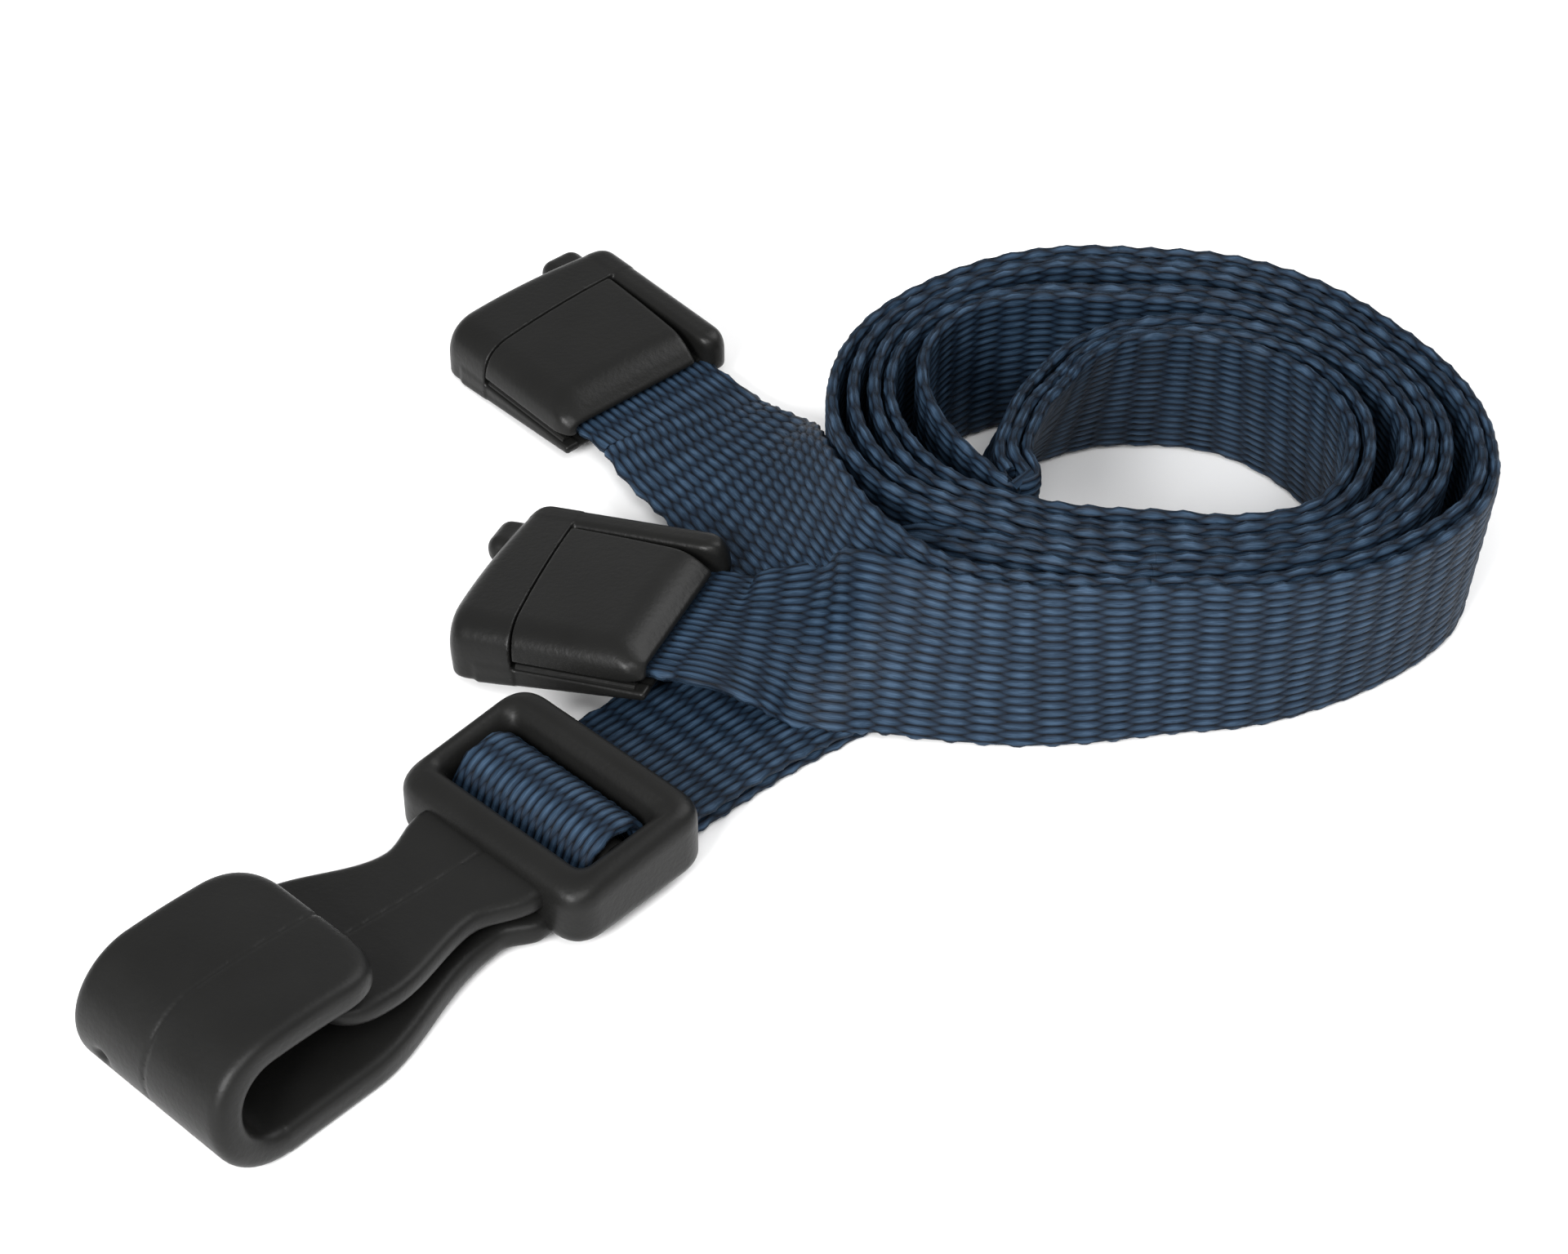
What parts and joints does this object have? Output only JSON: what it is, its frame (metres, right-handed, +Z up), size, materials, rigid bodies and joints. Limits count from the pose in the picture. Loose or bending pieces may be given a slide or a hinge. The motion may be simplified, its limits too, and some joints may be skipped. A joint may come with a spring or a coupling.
{
  "type": "lanyard",
  "caption": "Narrow woven badge lanyard wound into a flat oval coil, with the two halves of a breakaway connector and a J-shaped plastic hook with a springy tongue.",
  "frame": {"origin": "on the table under the middle of the whole object's box", "axes": "+Z up from the table, the coil's axis; +X along the coil's longer side away from the hook; +Y away from the hook towards the connector half that lies apart"},
  "size_m": [0.0726, 0.0706, 0.01],
  "materials": {
    "ribbon_navy": "matt woven, fine ribs across the ribbon",
    "plastic_black": "satin moulded, fine grain"
  },
  "bodies": {
    "coil": {"coil_outer_turn": "ribbon_navy", "coil_inner_turn": "ribbon_navy", "strand_to_half_a": "ribbon_navy", "strand_to_half_b": "ribbon_navy", "strap_lower_ply": "ribbon_navy", "strap_upper_ply": "ribbon_navy"},
    "half_a": {"half_a_base": "plastic_black", "half_a_living_hinge": "plastic_black", "half_a_ribbon_end": "ribbon_navy"},
    "lid_a": {"half_a_lid": "plastic_black"},
    "half_b": {"half_b_base": "plastic_black", "half_b_living_hinge": "plastic_black", "half_b_ribbon_end": "ribbon_navy"},
    "lid_b": {"half_b_lid": "plastic_black"},
    "strap_end": {"hook_loop": "ribbon_navy"},
    "hook": {"hook_frame": "plastic_black", "hook_crossbar": "plastic_black", "hook_shank": "plastic_black"},
    "tongue": {"hook_tongue": "plastic_black"}
  },
  "joints": [
    {"name": "half_a_bend", "type": "hinge", "parent": "coil", "child": "half_a", "pos_m": [-0.00877, 0.02077, 0.00195], "axis": [0.7547, 0.6561, 0], "range_deg": [0, 30]},
    {"name": "lid_a_hinge", "type": "hinge", "parent": "half_a", "child": "lid_a", "pos_m": [-0.0173, 0.0219, 0.00135], "axis": [0.6561, -0.7547, 0], "range_deg": [0, 95]},
    {"name": "half_b_bend", "type": "hinge", "parent": "coil", "child": "half_b", "pos_m": [-0.00542, 0.00038, 0.00397], "axis": [0.3816, 0.9217, -0.0692], "range_deg": [0, 30]},
    {"name": "lid_b_hinge", "type": "hinge", "parent": "half_b", "child": "lid_b", "pos_m": [-0.01348, -0.00254, 0.00298], "axis": [0.9203, -0.3718, 0.1219], "range_deg": [0, 95]},
    {"name": "strap_bend", "type": "hinge", "parent": "coil", "child": "strap_end", "pos_m": [-0.01046, -0.00806, 0.0014], "axis": [-0.7254, 0.6884, 0], "range_deg": [0, 30]},
    {"name": "hook_swing", "type": "hinge", "parent": "strap_end", "child": "hook", "pos_m": [-0.01463, -0.01245, 0.00255], "axis": [-0.7254, 0.6884, 0], "range_deg": [-45, 0]},
    {"name": "tongue_flex", "type": "hinge", "parent": "hook", "child": "tongue", "pos_m": [-0.01785, -0.01629, 0.0031], "axis": [0.7254, -0.6884, 0], "range_deg": [0, 8], "stiffness_Nm_per_rad": 0.02}
  ]
}
